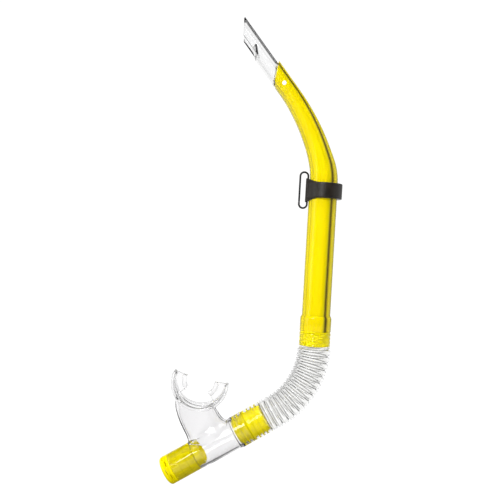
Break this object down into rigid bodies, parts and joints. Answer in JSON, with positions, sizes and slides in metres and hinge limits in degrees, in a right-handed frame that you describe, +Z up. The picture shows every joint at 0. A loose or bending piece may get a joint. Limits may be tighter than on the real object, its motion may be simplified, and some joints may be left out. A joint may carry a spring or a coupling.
{
  "type": "snorkel tube",
  "caption": "Breathing tube with a bent barrel, splash hood, corrugated lower hose, swivelling mouthpiece, purge valve and strap keeper.",
  "frame": {"origin": "on the axis of the barrel's straight stretch, at the middle of the keeper band", "axes": "+Z up along the straight barrel, -X towards the hood's opening and the mouthpiece, Y across the plane that the tube bends in"},
  "size_m": [0.15, 0.0324, 0.4215],
  "materials": {
    "yellow_pvc": "translucent gloss",
    "yellow_fittings": "translucent gloss",
    "clear_guard": "clear gloss",
    "clear_hose": "clear satin",
    "clear_silicone": "clear satin",
    "black_rubber": "matte",
    "black_wire": "satin"
  },
  "bodies": {
    "barrel": {"barrel": "yellow_pvc", "barrel_socket": "yellow_pvc", "splash_guard": "clear_guard", "upper_coupling": "yellow_fittings", "flex_hose": "clear_hose"},
    "keeper": {"keeper_band": "black_rubber"},
    "strap_ring": {"keeper_ring": "black_wire"},
    "hose_end": {"lower_coupling": "yellow_fittings"},
    "mouthpiece": {"mouthpiece": "clear_silicone", "purge_body": "yellow_fittings", "purge_cap": "yellow_fittings"},
    "flap": {"purge_flap": "clear_silicone"}
  },
  "joints": [
    {"name": "keeper_slide", "type": "slide", "parent": "barrel", "child": "keeper", "axis": [0, 0, 1], "range_m": [-0.09, 0]},
    {"name": "ring_swing", "type": "hinge", "parent": "keeper", "child": "strap_ring", "pos_m": [-0.01405, 0, 0], "axis": [0, 0, 1], "range_deg": [-75, 75]},
    {"name": "hose_bend", "type": "hinge", "parent": "barrel", "child": "hose_end", "pos_m": [-0.0115, 0, -0.1736], "axis": [0, 1, 0], "range_deg": [-50, 30], "stiffness_Nm_per_rad": 3, "deforming": ["flex_hose"]},
    {"name": "mouthpiece_turn", "type": "hinge", "parent": "hose_end", "child": "mouthpiece", "pos_m": [-0.04078, 0, -0.20558], "axis": [-0.8462, 0, -0.5329], "range_deg": [-90, 90]},
    {"name": "flap_lift", "type": "slide", "parent": "mouthpiece", "child": "flap", "axis": [-0.8462, 0, -0.5329], "range_m": [0, 0.0015], "stiffness_N_per_m": 20, "springref_m": -0.0003}
  ]
}
